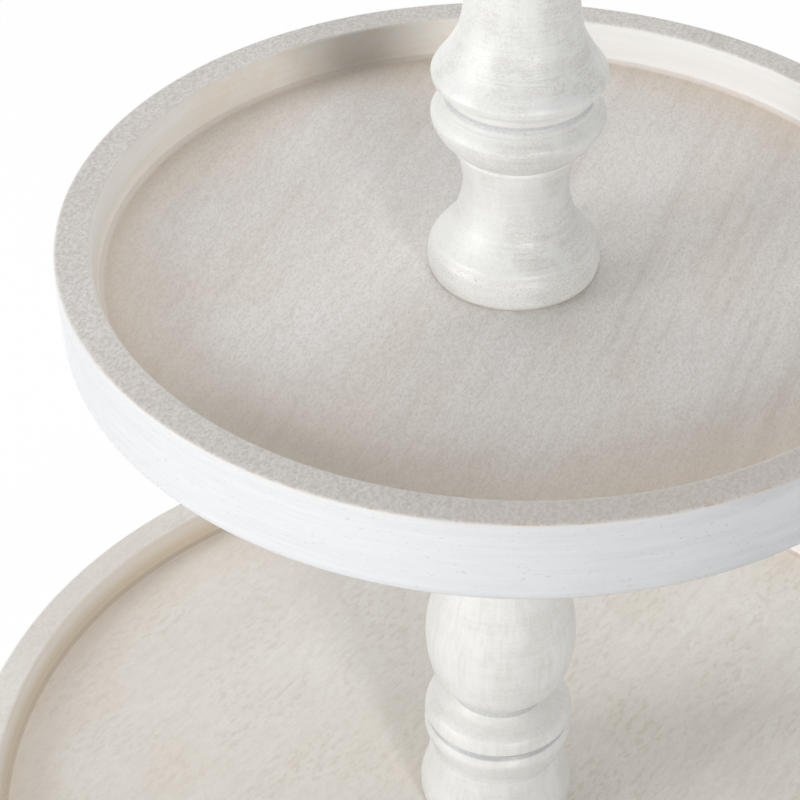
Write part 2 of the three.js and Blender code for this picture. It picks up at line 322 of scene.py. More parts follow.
class Outline:
    """The edge of a turned piece from the bottom of its axis round to the top, point by point."""

    def __init__(self):
        self.points = []
        self.marks = []

    def add(self, points, **marks):
        """More points of [radius, height]; a mark is one number for all of them or one for each."""
        for i, (radius, height) in enumerate(points):
            self.points.append((radius, height))
            self.marks.append(
                {name: (value[i] if np.ndim(value) else value) for name, value in marks.items()}
            )

    def line(self, start, end, step, **marks):
        """Points from start to end, at most step apart; a pair of marks fades along them."""
        count = max(1, math.ceil(math.dist(start, end) / step))
        shares = np.linspace(0, 1, count + 1)
        faded = {
            name: np.interp(shares, (0, 1), value) if np.ndim(value) else value
            for name, value in marks.items()
        }
        self.add([np.add(start, np.subtract(end, start) * t) for t in shares], **faded)

    def arc(self, centre, radius, start, end, steps, **marks):
        """Points of an arc between two angles, in degrees."""
        for degrees in np.linspace(start, end, steps + 1):
            a = math.radians(degrees)
            point = (centre[0] + radius * math.cos(a), centre[1] + radius * math.sin(a))
            self.add([point], **marks)

    def raised(self, z):
        """The same outline with its bottom at that height."""
        made = Outline()
        made.points = [(r, h + z) for r, h in self.points]
        made.marks = self.marks
        return made

    def turned_over(self, top):
        """The same outline upside down, hanging from that height."""
        made = Outline()
        made.points = [(r, top - h) for r, h in reversed(self.points)]
        made.marks = list(reversed(self.marks))
        return made


def turned(name, outline, finish, facets, sway=0.0, rings=0.0, dents=0.0, seed=0.0):
    """A turned piece made from its outline by the lathe tree, as a plain mesh at the origin."""
    sketch = bpy.data.meshes.new(name + "_outline")
    count = len(outline.points)
    sketch.from_pydata(
        [(r, 0, z) for r, z in outline.points], [(i, i + 1) for i in range(count - 1)], []
    )
    for mark in MARKS:
        kept = sketch.attributes.new(mark, "FLOAT", "POINT")
        kept.data.foreach_set("value", [float(m.get(mark, 0)) for m in outline.marks])
    held = bpy.data.objects.new(name + "_outline", sketch)
    bpy.context.scene.collection.objects.link(held)
    lathe = held.modifiers.new("lathe", "NODES")
    lathe.node_group = LATHE
    wear = {"Sway": sway, "Rings": rings, "Dents": dents, "Seed": seed}
    for socket, value in {"Facets": facets, "Finish": finish, **wear}.items():
        lathe[LATHE_SOCKETS[socket]] = value
    graph = bpy.context.evaluated_depsgraph_get()
    mesh = bpy.data.meshes.new_from_object(
        held.evaluated_get(graph), preserve_all_data_layers=True, depsgraph=graph
    )
    held.modifiers.remove(lathe)
    bpy.data.objects.remove(held)
    return finished(name, mesh)


def finished(name, mesh):
    """The mesh as an object at the origin, closed and with its faces outwards."""
    work = bmesh.new()
    work.from_mesh(mesh)
    bmesh.ops.recalc_face_normals(work, faces=work.faces)
    if work.calc_volume(signed=True) < 0:
        bmesh.ops.reverse_faces(work, faces=work.faces)
    work.to_mesh(mesh)
    work.free()
    mesh.name = name
    piece = bpy.data.objects.new(name, mesh)
    bpy.context.scene.collection.objects.link(piece)
    return piece


def through(points, steps):
    """A smooth curve through the points, with that many steps between two of them."""
    made = [points[0]]
    last = len(points) - 1
    for i in range(last):
        p0, p1, p2, p3 = (np.array(points[min(max(i + k, 0), last)]) for k in (-1, 0, 1, 2))
        v0, v1 = (p2 - p0) / 2, (p3 - p1) / 2
        for t in np.linspace(0, 1, steps + 1)[1:]:
            made.append(
                (2 * p1 - 2 * p2 + v0 + v1) * t**3 + (-3 * p1 + 3 * p2 - 2 * v0 - v1) * t**2
                + v0 * t + p1
            )
    return made


def heights(node):
    """The lowest and highest Z of a CAD node."""
    low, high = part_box(node)
    return low.z, high.z


def reach(node):
    """The radius of a CAD node that stands on the axis."""
    low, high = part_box(node)
    return (high.x - low.x) / 2


def insert_hole(outline):
    """A stepped blind hole for a threaded insert, from the axis at its end down to the mouth."""
    for start, end in (
        ((0, INSERT_SINK), (INSERT_BORE, INSERT_SINK)),
        ((INSERT_BORE, INSERT_SINK), (INSERT_BORE, FLANGE_SINK)),
        ((INSERT_BORE, FLANGE_SINK), (FLANGE_BORE, FLANGE_SINK)),
        ((FLANGE_BORE, FLANGE_SINK), (FLANGE_BORE, 0)),
    ):
        outline.line(start, end, HOLE_ROW, under=1)


def screw_hole(outline, depth):
    """A plain blind hole for the finial's screw, from the axis at its end down to the mouth."""
    outline.line((0, depth), (SCREW_BORE, depth), HOLE_ROW, under=1)
    outline.line((SCREW_BORE, depth), (SCREW_BORE, 0), HOLE_ROW, under=1)


def foot_lined(radius, height, band_top):
    """The radius at that height, with the shallow line cut in where the foot band ends."""
    nearness = max(0.0, 1 - abs(height - band_top) / FOOT_LINE_REACH)
    return radius - FOOT_LINE_DEPTH * nearness


def post_marks(outside, edges, band_top):
    """The marks of a post's outside: grooves, crisp edges, foot band and the seam at its foot."""
    radii = np.array([p[0] for p in outside])
    levels = np.array([p[1] for p in outside])
    marks = {"hollow": [], "edge": [], "band": [], "seam": []}
    for r, z in zip(radii, levels):
        below = radii[(levels <= z) & (levels > z - HOLLOW_SPAN)].max()
        above = radii[(levels >= z) & (levels < z + HOLLOW_SPAN)].max()
        gap = min(abs(z - level) for level, at in zip(levels, edges) if at)
        marks["hollow"].append(min(1.0, (min(below, above) - r) / HOLLOW_DEPTH))
        marks["edge"].append(max(0.0, 1 - gap / EDGE_REACH))
        marks["band"].append(1.0 if z <= band_top else 0.0)
        marks["seam"].append(max(0.0, 1 - z / SEAM_REACH))
    return marks


def post_outline(stretches, height, radius, top_hole):
    """A post's outline: the hole in its foot, its turned outside and the hole in its top."""
    outside, edges = [], []
    for shares in stretches.values():
        points = through([(out * radius, up * height) for up, out in shares], CURVE_STEPS)
        outside += points
        edges += [1] + [0] * (len(points) - 2) + [1]
    band_top = stretches["foot_band"][-1][0] * height
    outside = [(foot_lined(r, z, band_top), z) for r, z in outside]
    outline = Outline()
    insert_hole(outline)
    outline.line((FLANGE_BORE, 0), (outside[0][0], 0), FLAT_ROW, under=1)
    outline.add(outside, **post_marks(outside, edges, band_top))
    sunk = Outline()
    top_hole(sunk)
    mouth = sunk.points[-1][0]
    outline.line((outside[-1][0], height), (mouth, height), FLAT_ROW)
    outline.add(sunk.turned_over(height).points, under=1)
    return outline


def tray_outline(radius, height, depth, recess):
    """A tray's outline: bottom, rounded side, flat rim, inner wall, filleted floor, centre hole."""
    floor = height - depth
    inner = radius - RIM_WIDTH
    foot = radius - SIDE_DRAFT
    low_wall = inner - WALL_DRAFT
    outline = Outline()
    if recess:
        wide, deep = WASHER_RECESS
        mouth, mouth_round, mouth_row = wide, RECESS_ROUND, RECESS_ROW
        outline.line((BOLT_HOLE, floor), (BOLT_HOLE, deep), HOLE_ROW, under=1)
        outline.line((BOLT_HOLE, deep), (wide, deep), HOLE_ROW, under=1)
        top = deep
    else:
        mouth, mouth_round, mouth_row = BOLT_HOLE, BOLT_HOLE_ROUND, HOLE_ROW
        top = floor
    outline.line((mouth, top), (mouth, mouth_round), mouth_row, under=1)
    outline.line((mouth, mouth_round), (mouth + mouth_round, 0), ROUND_ROW, under=1)
    heel = foot - BOTTOM_ROUND
    outline.line((mouth + mouth_round, 0), (heel, 0), UNDERSIDE_ROW, under=1)
    outline.arc((heel, BOTTOM_ROUND), BOTTOM_ROUND, -90, -72, 2, under=1)
    outline.arc((heel, BOTTOM_ROUND), BOTTOM_ROUND, -66, -42, 3, side=1, crease=1)
    outline.arc((heel, BOTTOM_ROUND), BOTTOM_ROUND, -34, 0, 4, side=1)
    shoulder = height - ARRIS_ROUND
    outer_arris = (radius - ARRIS_ROUND, shoulder)
    inner_arris = (inner + ARRIS_ROUND, shoulder)
    outline.line((foot, BOTTOM_ROUND), (radius, shoulder), SIDE_ROW, side=1)
    outline.arc(outer_arris, ARRIS_ROUND, 0, 45, 3, side=1, arris=0.8)
    outline.arc(outer_arris, ARRIS_ROUND, 55, 90, 3, rim=1, arris=1)
    outline.line((outer_arris[0], height), (inner_arris[0], height), FINE_ROW, rim=1)
    outline.arc(inner_arris, ARRIS_ROUND, 90, 130, 3, rim=1, lip=1)
    outline.arc(inner_arris, ARRIS_ROUND, 140, 180, 3, wall=1)
    near = low_wall - FLOOR_FILLET
    fillet = (near, floor + FLOOR_FILLET)
    outline.line((inner, shoulder), (low_wall, fillet[1]), FINE_ROW, wall=1, foot=(0, 0.9))
    outline.arc(fillet, FLOOR_FILLET, 0, -30, 3, wall=1, foot=1)
    outline.arc(fillet, FLOOR_FILLET, -38, -68, 3, wall=0.5, foot=1, crease=1, corner=1)
    outline.arc(fillet, FLOOR_FILLET, -76, -90, 2, corner=1, crease=0.3)
    outline.line((near, floor), (near - WALL_SHADE_REACH, floor), WALL_SHADE_ROW, corner=(1, 0))
    outline.line((near - WALL_SHADE_REACH, floor), (BOLT_HOLE, floor), FLAT_ROW)
    return outline


def ball_outline():
    """The finial: a collar, a short neck and a ball, with the screw's hole from below."""
    low, high = heights("finial")
    radius = reach("finial")
    collar, collar_height, neck, neck_height = 14 * MM, 4 * MM, 10.5 * MM, 5 * MM
    collar_rise, ball_gap, neck_row = 0.6 * MM, 0.4 * MM, 0.5 * MM
    ball_steps = 64
    neck_foot = collar_height + collar_rise
    neck_top = collar_height + neck_height
    sink = math.sqrt(radius**2 - neck**2)
    half = collar_height / 2
    outline = Outline()
    screw_hole(outline, SCREW_SINK_FINIAL)
    outline.line((SCREW_BORE, 0), (collar - half, 0), HOLE_ROW, under=1)
    outline.arc((collar - half, half), half, -90, 90, CURVE_STEPS)
    outline.line((collar - half, collar_height), (neck, neck_foot), SMALL_ROW, hollow=0.8)
    outline.line((neck, neck_foot), (neck, neck_top - ball_gap), neck_row, hollow=1)
    start = -math.degrees(math.atan2(sink, neck))
    outline.arc((0, neck_top + sink), radius, start, 90, ball_steps)
    squeeze = (high - low) / max(h for r, h in outline.points)
    outline.points = [(r, h * squeeze) for r, h in outline.points]
    return outline


def fading(count, rows):
    """The depth of a thread along that many rows: nothing at both ends, whole after a few rows."""
    return [min(1.0, i / rows, (count - 1 - i) / rows) for i in range(count)]


def rod(outline, foot, radius, length):
    """A threaded rod's outside, chamfered at both ends, with enough rows for the thread."""
    threaded = length - 2 * ROD_CHAMFER
    rows = max(2, round(threaded / (METRIC_PITCH / METRIC_ROWS)))
    levels = foot + (ROD_CHAMFER + np.arange(rows + 1) * threaded / rows)
    cut = [METRIC_DEPTH * f for f in fading(rows + 1, ROD_FADE_ROWS)]
    outline.add([(radius, z) for z in levels], pitch=METRIC_PITCH, cut=cut)


# Finishes


def paint(red, green, blue):
    """A colour written 0 to 255 as a screen shows it, as Blender's linear one."""
    made = []
    for value in (red, green, blue):
        share = value / 255
        made.append(share / 12.92 if share <= 0.04045 else ((share + 0.055) / 1.055) ** 2.4)
    return (*made, 1)


class Finish:
    """A procedural finish under construction, on the piece's own Object coordinates."""

    def __init__(self, name):
        self.material = bpy.data.materials.new(name)
        self.material.use_nodes = True
        self.material.node_tree.nodes.clear()
        self.node = nodes_of(self.material.node_tree)
        self.calc = sums_of(self.node)
        self.place = self.node("ShaderNodeTexCoord")["Object"]

    def mark(self, name):
        """One of the outline's marks."""
        return self.node("ShaderNodeAttribute", attribute_name=name)["Fac"]

    def stretched(self, stretch, turn=0.0):
        """The piece's coordinates turned about Z, then stretched."""
        turned_place = self.node(
            "ShaderNodeMapping", {"Vector": self.place, "Rotation": (0, 0, math.radians(turn))}
        )[0]
        return self.node("ShaderNodeMapping", {"Vector": turned_place, "Scale": stretch})[0]

    def facing(self, degrees):
        """1 on the side of a turned piece that faces that way from its axis, 0 on the far side."""
        a = math.radians(degrees)
        outwards = self.node(
            "ShaderNodeVectorMath", {0: self.stretched((1, 1, 0))}, operation="NORMALIZE"
        )[0]
        along = self.node(
            "ShaderNodeVectorMath", {0: outwards, 1: (math.cos(a), math.sin(a), 0)},
            operation="DOT_PRODUCT",
        )["Value"]
        return self.ramp(along, -0.2, 1.0)

    def noise(self, size, stretch=(1, 1, 1), turn=0.0, detail=3.0, rough=0.5):
        """Noise of that size of grain, in metres; a stretch under 1 draws it out along an axis."""
        return self.node(
            "ShaderNodeTexNoise",
            {
                "Vector": self.stretched(stretch, turn),
                "Scale": 1 / size,
                "Detail": detail,
                "Roughness": rough,
            },
        )[0]

    def grain(self, table, turn=0.0):
        """The noises of a table of [size in mm, stretch, detail, roughness], by name."""
        return {
            name: self.noise(size * MM, stretch, turn, detail, rough)
            for name, (size, stretch, detail, rough) in table.items()
        }

    def tool_rings(self, scale):
        """Rings round the axis as a tool leaves them on a flat face."""
        radial = self.node(
            "ShaderNodeVectorMath", {0: self.stretched((1, 1, 0))}, operation="LENGTH"
        )["Value"]
        return self.node(
            "ShaderNodeTexNoise",
            {"W": self.calc("MULTIPLY", radial, scale), "Scale": 1.0, "Detail": 3.0},
            noise_dimensions="1D",
        )[0]

    def ramp(self, value, low, high, start=0.0, end=1.0):
        """A smooth step of the value, from start at low to end at high."""
        return self.node(
            "ShaderNodeMapRange",
            {"Value": value, "From Min": low, "From Max": high, "To Min": start, "To Max": end},
            interpolation_type="SMOOTHSTEP",
        )[0]

    def times(self, first, second):
        """The product of two numbers or sockets."""
        return self.calc("MULTIPLY", first, second)

    def mix(self, share, first, second):
        """Two colours mixed by a share of the second."""
        return self.node("ShaderNodeMix", {0: share, 6: first, 7: second}, data_type="RGBA")[2]

    def done(self, colour, roughness, height, depth, **gloss):
        """The finished material: a colour, a roughness and a relief of that depth in metres."""
        relief = self.node(
            "ShaderNodeBump", {"Height": height, "Distance": depth, "Strength": 1.0}
        )[0]
        inputs = {"Base Color": colour, "Roughness": roughness, **gloss, "Normal": relief}
        shader = self.node("ShaderNodeBsdfPrincipled", inputs)
        self.node("ShaderNodeOutputMaterial", {"Surface": shader[0]})
        return self.material


# Grain of a tray's wood, along its board: size in mm, stretch, detail, roughness
TRAY_GRAIN = {
    "clouds": (70, (0.6, 1, 1), 2, 0.5),
    "stains": (38, (0.55, 1, 1), 2, 0.55),
    "patches": (26, (0.7, 1, 1), 2, 0.5),
    "strokes": (5, (0.04, 1, 1), 4, 0.65),
    "blots": (3.5, (0.4, 1, 1), 2, 0.6),
    "ripples": (2.2, (0.45, 1, 1), 2, 0.5),
    "speckle": (1.3, (0.8, 1, 1), 3, 0.75),
    "fibres": (1.1, (0.16, 1, 1), 3, 0.6),
    "pores": (0.75, (0.4, 1, 1), 1, 0.5),
    "mottle": (0.7, (0.45, 1, 1), 2, 0.8),
}
# The wash brushed on its upright faces, drawn out round the tray
TRAY_WASH = {
    "shade_strokes": (7, (0.13, 0.13, 1), 4, 0.7),
    "smoke": (6, (0.7, 0.7, 1), 4, 0.7),
    "dashes": (6, (1, 1, 1), 5, 0.8),
    "bands": (3.2, (0.03, 0.03, 1), 3, 0.6),
    "specks": (0.9, (0.6, 0.6, 1), 1, 0.5),
    "brush": (0.8, (0.04, 0.04, 1), 3, 0.65),
}
# Colours as a screen shows them, red, green and blue from 0 to 255
TRAY_COLOURS = {
    "blot": (196, 188, 180),
    "dark_stroke": (196, 189, 181),
    "pale_stroke": (226, 224, 220),
    "pale_fibre": (234, 231, 227),
    "mottle": (184, 176, 167),
    "pore": (146, 134, 121),
    "ripple": (207, 199, 189),
    # painted shade on the left of the coarser floor
    "lower_floor_shade": (207, 201, 196),
    # painted shade on the floor towards the wall
    "painted_wall_shade": (197, 179, 156),
    "side_grey": (214, 216, 218),
    "side_white": (219, 220, 222),
    "side_brush": (197, 199, 202),
    # painted shade on the right of the outside
    "side_shade": (176, 177, 179),
    "side_speck": (160, 155, 149),
    "side_crease": (184, 166, 143),
    "wall_cream": (227, 224, 220),
    "wall_white": (235, 233, 230),
    "wall_brush": (214, 209, 202),
    # painted light: cooler tint where the wall is lit, on the back right
    "wall_lit_cool": (212, 216, 218),
    # painted warm shade towards the foot of the wall on the back left
    "wall_warm_shade": (201, 186, 163),
    # painted tint of the post's shadow on the wall
    "wall_post_shadow": (222, 205, 180),
    # brown pigment with painted contact shade in the crease
    "wall_crease": (160, 138, 114),
    "rim_grey": (214, 211, 208),
    "rim_front": (190, 184, 178),
    "rim_speckle": (168, 160, 152),
    "lip": (226, 222, 214),
    "arris": (232, 227, 216),
    "rubbed": (192, 168, 142),
    "bare_dark": (186, 172, 155),
    "bare_light": (208, 199, 188),
    "bare_fibre": (170, 152, 132),
    "bare_ring": (160, 146, 130),
}
# What differs between the trays: the way of the grain in degrees, how fine it is, how strong the
# wall's painted shade and brown pigment are, and the colours of the floor
TRAY_LOOKS = {
    "upper_tray": {
        "grain_turn": -70, "fineness": 1.0, "pigment_and_shade": 0.15,
        "colours": {"dark": (222, 218, 215), "light": (231, 229, 228), "stain": (222, 213, 202)},
    },
    "lower_tray": {
        "grain_turn": -55, "fineness": 0.35, "pigment_and_shade": 0.85,
        "colours": {"dark": (224, 220, 215), "light": (235, 234, 230), "stain": (224, 217, 207)},
    },
}

# Coats of colour, one over another: grain, its level from and to, the coat's share at each, colour
FLOOR_COATS = (
    ("clouds", 0.3, 0.7, 0, 1, "light"),
    ("stains", 0.4, 0.72, 0, 0.5, "stain"),
    ("blots", 0.34, 0.6, 0.15, 0, "blot"),
)
FINE_COATS = (
    ("strokes", 0.48, 0.3, 0, 0.3, "pale_stroke"),
    ("fibres", 0.4, 0.7, 0, 0.25, "pale_fibre"),
    ("mottle", 0.34, 0.6, 0.42, 0, "mottle"),
)
SIDE_COATS = (("bands", 0.3, 0.7, 0, 1, "side_white"), ("brush", 0.35, 0.65, 0.2, 0, "side_brush"))
WALL_COATS = (("bands", 0.3, 0.7, 0, 1, "wall_white"), ("brush", 0.35, 0.65, 0.16, 0, "wall_brush"))
RIM_COATS = (("speckle", 0.36, 0.6, 0.4, 0, "rim_speckle"),)
UNDERSIDE_COATS = (
    ("strokes", 0.3, 0.7, 0, 1, "bare_light"),
    ("fibres", 0.35, 0.7, 0, 0.4, "bare_fibre"),
    ("rings", 0.35, 0.65, 0.2, 0, "bare_ring"),
)
POST_COATS = (("clouds", 0.3, 0.7, 0, 1, "soft"),)
BARE_COATS = (("streaks", 0.3, 0.7, 0, 1, "bare_light"),)
METAL_COATS = (("bloom", 0.35, 0.7, 0, 1, "bloom"), ("lines", 0.3, 0.7, 0, 0.3, "line"))
FELT_COATS = (("matted", 0.4, 0.75, 0, 1, "light"), ("patches", 0.35, 0.7, 0, 0.3, "pressed"))

# Where the wash, its wear and the painted shade and light vary round the stand: directions from the
# axis in degrees; 270 is the front
STROKES_SIDE = 10
LOWER_SHADE_SIDE = 195
WALL_SHADE_SIDE = 262
SHADED_SIDE = -12
LIT_WALL_SIDE = 50
SHADED_WALL_SIDE = 160
POST_SHADOW_SIDE = 114
DARK_RIM_SIDE = -45
RUBBED_SIDE = -60
THIN_AND_SHADED_POST_SIDE = -40

TOOL_RINGS = 900
WOOD_IOR = 1.45
TRAY_RELIEF = 0.05 * MM
POST_RELIEF = 0.03 * MM
METAL_RELIEF = 0.01 * MM
FELT_RELIEF = 0.25 * MM

POST_GRAIN = {
    "clouds": (16, (1, 1, 0.7), 3, 0.6),
    "bands": (4, (0.06, 0.06, 1), 3, 0.6),
    "streaks": (2.0, (1, 1, 0.08), 3, 0.6),
    "rings": (0.9, (0.05, 0.05, 1), 3, 0.6),
    "mottle": (0.5, (0.6, 0.6, 1), 2, 0.75),
    "specks": (0.5, (0.8, 0.8, 1), 1, 0.5),
    "grit": (0.4, (1, 1, 1), 2, 0.7),
}
POST_COLOURS = {
    "bright": (229, 230, 229),
    "soft": (225, 226, 224),
    "streak": (204, 202, 195),
    "ring": (194, 192, 186),
    "band": (199, 197, 190),
    "worn": (186, 182, 174),
    "speck": (158, 155, 150),
    "grit": (196, 193, 187),
    # grey wash in the grooves, partly painted shade
    "groove": (172, 173, 177),
    "seam": (160, 146, 126),
    "edge": (232, 229, 219),
    "bare_dark": (190, 170, 145),
    "bare_light": (206, 190, 168),
}

ZINC_GRAIN = {"bloom": (3, (1, 1, 1), 4, 0.5), "lines": (0.25, (0.05, 0.05, 1), 2, 0.5)}
ZINC_COLOURS = {"bright": (190, 193, 197), "bloom": (200, 196, 182), "line": (160, 163, 168)}
BRASS_GRAIN = {"bloom": (2.5, (1, 1, 1), 4, 0.5), "lines": (0.3, (0.05, 0.05, 1), 2, 0.5)}
BRASS_COLOURS = {"bright": (214, 184, 118), "bloom": (180, 148, 90), "line": (150, 122, 72)}
FELT_FIBRE, FELT_PATCH = 0.35 * MM, 4 * MM
FELT_COLOURS = {"dark": (122, 112, 100), "light": (168, 158, 144), "pressed": (110, 101, 90)}


def tones(table):
    """The colours of a table, by name."""
    return {name: paint(*levels) for name, levels in table.items()}


def coated(f, base, coats, grain, tone, strength=1.0):
    """The base colour under the coats of a table, each at that strength."""
    for name, low, high, start, end, colour in coats:
        share = f.ramp(grain[name], low, high, start * strength, end * strength)
        base = f.mix(share, base, tone[colour])
    return base


def tray_floor(f, look, grain, pores, tone):
    """Greige face grain with stains, strokes and pores, and painted shade, darker and browner,
    towards the wall.
    """
    fineness = look["fineness"]
    coarseness = 1 - fineness
    patches = f.ramp(grain["patches"], 0.42, 0.62)
    floor = coated(f, tone["dark"], FLOOR_COATS, grain, tone)
    brushed = f.ramp(f.facing(STROKES_SIDE), 0, 1, 0.2 * fineness, 0.45 * fineness)
    streaked = f.times(f.ramp(grain["strokes"], 0.45, 0.7), brushed)
    floor = f.mix(streaked, floor, tone["dark_stroke"])
    floor = coated(f, floor, FINE_COATS, grain, tone, fineness)
    dotted = f.times(pores, f.ramp(patches, 0, 1, 0.1 * fineness, 0.45 * fineness))
    floor = f.mix(dotted, floor, tone["pore"])

    # Coarser wood shows short ripples in patches, and painted shade darkens it on the left
    ripples = f.ramp(grain["ripples"], 0.5, 0.64)
    dappled = f.times(ripples, f.ramp(patches, 0, 1, 0.25 * coarseness, 0.75 * coarseness))
    floor = f.mix(dappled, floor, tone["ripple"])
    floor = f.mix(f.times(f.facing(LOWER_SHADE_SIDE), 0.3 * coarseness), floor, tone["lower_floor_shade"])

    # Painted shade, darker and browner towards the wall, reaching further out on the side near the
    # front
    front, brown_share = f.facing(WALL_SHADE_SIDE), 0.5 + 0.5 * fineness
    fade = f.calc("POWER", f.mark("corner"), f.ramp(front, 0, 1, 3.4, 1.4))
    painted_wall_shade = f.times(fade, f.ramp(front, 0, 1, 0.5 * brown_share, 0.6 * brown_share))
    return f.mix(painted_wall_shade, floor, tone["painted_wall_shade"])


def tray_side(f, wash, smoke, specks, tone):
    """White brushed outside, with painted shade greying the right, brown in the crease of its
    bottom.
    """
    side = coated(f, tone["side_grey"], SIDE_COATS, wash, tone)
    # Painted shade: the outside is greyer on the right, turned away from the light
    turned_away = f.facing(SHADED_SIDE)
    shaded = f.times(turned_away, f.ramp(wash["shade_strokes"], 0.35, 0.68, 0.62, 0.98))
    side = f.mix(shaded, side, tone["side_shade"])
    dotted = f.times(specks, f.ramp(turned_away, 0, 1, 0.28, 0.5))
    side = f.mix(dotted, side, tone["side_speck"])
    brown_share = f.times(f.mark("crease"), f.ramp(smoke, 0, 1, 0.35, 0.9))
    return f.mix(brown_share, side, tone["side_crease"])


def tray_wall(f, wash, smoke, pigment_and_shade, tone):
    """Cream brushed inner wall, with painted shade and brown pigment towards its foot."""
    wall = coated(f, tone["wall_cream"], WALL_COATS, wash, tone)
    # Painted light: the lit back right of the wall is cooler and a little greyer
    wall = f.mix(f.times(f.facing(LIT_WALL_SIDE), 0.3), wall, tone["wall_lit_cool"])
    # Painted shade: warmer and darker towards the foot of the wall on the back left
    footed = f.ramp(f.mark("foot"), 0.1, 1.0, 0.3 * pigment_and_shade, pigment_and_shade)
    wall = f.mix(f.times(f.facing(SHADED_WALL_SIDE), footed), wall, tone["wall_warm_shade"])
    # Painted shadow: brown tint where the post's shadow falls on the back-left wall
    behind = f.ramp(f.facing(POST_SHADOW_SIDE), 0.94, 0.995)
    wall = f.mix(f.times(behind, f.ramp(smoke, 0, 1, 0.15, 0.4)), wall, tone["wall_post_shadow"])
    # Brown pigment with painted contact shade in the crease at the wall's foot
    return f.mix(f.times(f.mark("crease"), pigment_and_shade), wall, tone["wall_crease"])


def tray_rim(f, floor, grain, fineness, tone):
    """The rim shows the floor's face grain, a little greyer."""
    rim = f.mix(0.2, floor, tone["rim_grey"])
    rim = f.mix(f.times(f.facing(DARK_RIM_SIDE), 0.6), rim, tone["rim_front"])
    rim = coated(f, rim, RIM_COATS, grain, tone, fineness)
    return f.mix(f.times(f.mark("lip"), 0.4), rim, tone["lip"])


def washed_tray_wood(tray):
    """White-washed wood of a tray: greige floor and rim, whiter sides and walls."""
    look = TRAY_LOOKS[tray]
    f = Finish("washed_wood_" + tray)
    tone = tones({**TRAY_COLOURS, **look["colours"]})
    grain = f.grain(TRAY_GRAIN, look["grain_turn"])
    grain["rings"] = f.tool_rings(TOOL_RINGS)
    wash = f.grain(TRAY_WASH)
    pores = f.ramp(grain["pores"], 0.68, 0.78)
    specks = f.ramp(wash["specks"], 0.66, 0.77)
    smoke = f.ramp(wash["smoke"], 0.38, 0.68)
    side, wall, under, arris = f.mark("side"), f.mark("wall"), f.mark("under"), f.mark("arris")

    floor = tray_floor(f, look, grain, pores, tone)
    rim = tray_rim(f, floor, grain, look["fineness"], tone)
    colour = f.mix(f.mark("rim"), floor, rim)
    colour = f.mix(side, colour, tray_side(f, wash, smoke, specks, tone))
    colour = f.mix(wall, colour, tray_wall(f, wash, smoke, look["pigment_and_shade"], tone))

    # The arrises are creamy, and the rim's outer one is rubbed through in dashes
    colour = f.mix(f.times(f.ramp(arris, 0.4, 0.9), 0.2), colour, tone["arris"])
    dashes = f.times(f.ramp(wash["dashes"], 0.5, 0.6), f.facing(RUBBED_SIDE))
    rubbed = f.times(f.ramp(arris, 0.8, 1.0), dashes)
    colour = f.mix(f.times(rubbed, 0.8), colour, tone["rubbed"])

    # Underneath, the wash is thin and the rings of the tool show
    bottom = coated(f, tone["bare_dark"], UNDERSIDE_COATS, grain, tone)
    colour = f.mix(under, colour, bottom)

    # Each relief is centred on zero, so that the arrises stay level
    upright = f.calc("ADD", side, wall, clamp=True)
    level = f.calc("SUBTRACT", 1, upright, clamp=True)

    def centred(value, share):
        return f.times(f.calc("SUBTRACT", value, 0.5), share)

    relief = centred(grain["mottle"], level)
    for raised in (
        centred(grain["fibres"], f.times(level, 0.6)),
        centred(wash["brush"], f.times(upright, 0.8)),
        centred(grain["rings"], f.times(under, 0.8)),
    ):
        relief = f.calc("ADD", relief, raised)
    for sunk in (f.times(pores, f.times(level, 0.8)), f.times(specks, f.times(upright, 0.4))):
        relief = f.calc("SUBTRACT", relief, sunk)
    roughness = f.ramp(grain["mottle"], 0.3, 0.7, 0.6, 0.75)
    roughness = f.calc("SUBTRACT", roughness, f.times(upright, 0.1))
    return f.done(colour, roughness, relief, TRAY_RELIEF, IOR=WOOD_IOR)


